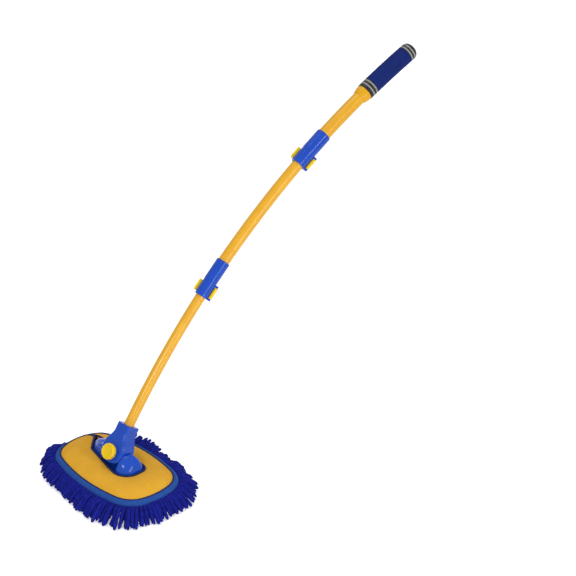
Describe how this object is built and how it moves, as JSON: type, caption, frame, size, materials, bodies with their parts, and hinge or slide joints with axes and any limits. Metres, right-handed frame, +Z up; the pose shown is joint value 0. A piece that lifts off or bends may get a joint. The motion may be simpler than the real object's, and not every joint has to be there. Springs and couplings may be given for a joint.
{
  "type": "car wash brush",
  "caption": "Long-handled car wash brush: an oval chenille wash pad on a lockable tilting neck, with a bowed telescopic pole, cam lever clamps and a foam grip.",
  "frame": {"origin": "centre of the pad's washing face, on the surface that the pad rests on", "axes": "+Z up out of the washing face, X along the pad and its hinge pin, +Y the side that the pole leans towards"},
  "size_m": [0.3432, 0.9355, 0.7471],
  "materials": {
    "black_plate": "moulded, matt",
    "blue_plastic": "moulded, glossy",
    "yellow_plastic": "moulded, glossy",
    "amber_plastic": "moulded, glossy",
    "black_plastic": "moulded, satin",
    "grey_nylon": "moulded, satin",
    "steel_screw": "zinc plated",
    "steel_pin": "ground",
    "brass_nut": "machined",
    "black_rubber": "moulded, matt",
    "white_foam": "open cell foam",
    "yellow_fabric": "knitted, padded",
    "navy_piping": "woven bias tape",
    "blue_binding": "woven bias tape",
    "chenille": "microfibre chenille",
    "yellow_tube": "lacquered aluminium tube",
    "grey_band": "moulded ring",
    "navy_foam": "closed cell foam, matt"
  },
  "bodies": {
    "head": {"frame_plate": "black_plate", "hinge_base": "blue_plastic", "left_cheek_cap": "blue_plastic", "right_cheek_cap": "blue_plastic", "base_screws": "steel_screw", "cheek_screws": "steel_screw", "hinge_pin": "steel_pin", "hinge_sleeve": "grey_nylon", "pad_foam": "white_foam", "cover_top": "yellow_fabric", "opening_binding": "navy_piping", "rim_binding": "blue_binding", "fringe_far": "chenille", "fringe_back_end": "chenille", "fringe_near": "chenille", "fringe_front_end": "chenille", "pile_back_end": "chenille", "pile_middle": "chenille", "pile_front_end": "chenille"},
    "neck_and_lower_tube": {"neck": "blue_plastic", "tube_screw": "steel_screw", "knob_nut": "brass_nut", "lower_tube": "yellow_tube", "lower_tube_bush": "grey_nylon"},
    "tilt_shoe": {"friction_shoe": "black_rubber"},
    "tilt_knob": {"clamp_knob": "yellow_plastic", "knob_screw": "steel_screw"},
    "mid_section": {"mid_tube": "yellow_tube", "mid_tube_bush": "grey_nylon", "lower_clamp_body": "blue_plastic", "lower_lever_pin": "steel_pin"},
    "lower_lever": {"lower_clamp_lever": "yellow_plastic"},
    "upper_section": {"upper_tube": "yellow_tube", "upper_clamp_body": "blue_plastic", "upper_lever_pin": "steel_pin", "grip_collar": "amber_plastic", "grip_ferrule": "black_plastic", "ferrule_bands": "grey_band", "foam_grip": "navy_foam", "end_cap": "black_plastic", "cap_bands": "grey_band"},
    "upper_lever": {"upper_clamp_lever": "yellow_plastic"}
  },
  "joints": [
    {"name": "head_tilt", "type": "hinge", "parent": "head", "child": "neck_and_lower_tube", "pos_m": [0, 0, 0.073], "axis": [1, 0, 0], "range_deg": [-41, 31]},
    {"name": "shoe_lift", "type": "slide", "parent": "neck_and_lower_tube", "child": "tilt_shoe", "axis": [0, -0.8572, 0.515], "range_m": [0, 0.00187]},
    {"name": "knob_turn", "type": "hinge", "parent": "tilt_shoe", "child": "tilt_knob", "pos_m": [0, -0.02057, 0.08536], "axis": [0, -0.8572, 0.515], "range_deg": [0, 540]},
    {"name": "mid_slide", "type": "hinge", "parent": "neck_and_lower_tube", "child": "mid_section", "pos_m": [0, 1.32432, -0.72273], "axis": [1, 0, 0], "range_deg": [0, 10.75]},
    {"name": "upper_slide", "type": "hinge", "parent": "mid_section", "child": "upper_section", "pos_m": [0, 1.32432, -0.72273], "axis": [1, 0, 0], "range_deg": [0, 7.42]},
    {"name": "lower_lever_swing", "type": "hinge", "parent": "mid_section", "child": "lower_lever", "pos_m": [0.01486, 0.24451, 0.36671], "axis": [0, -0.7184, -0.6956], "range_deg": [0, 100]},
    {"name": "upper_lever_swing", "type": "hinge", "parent": "upper_section", "child": "upper_lever", "pos_m": [0.01605, 0.50716, 0.57432], "axis": [0, -0.8523, -0.5231], "range_deg": [0, 100]}
  ],
  "couplings": [
    {"joint": "shoe_lift", "follows": "knob_turn", "m_per_rad": 0.00019894}
  ]
}
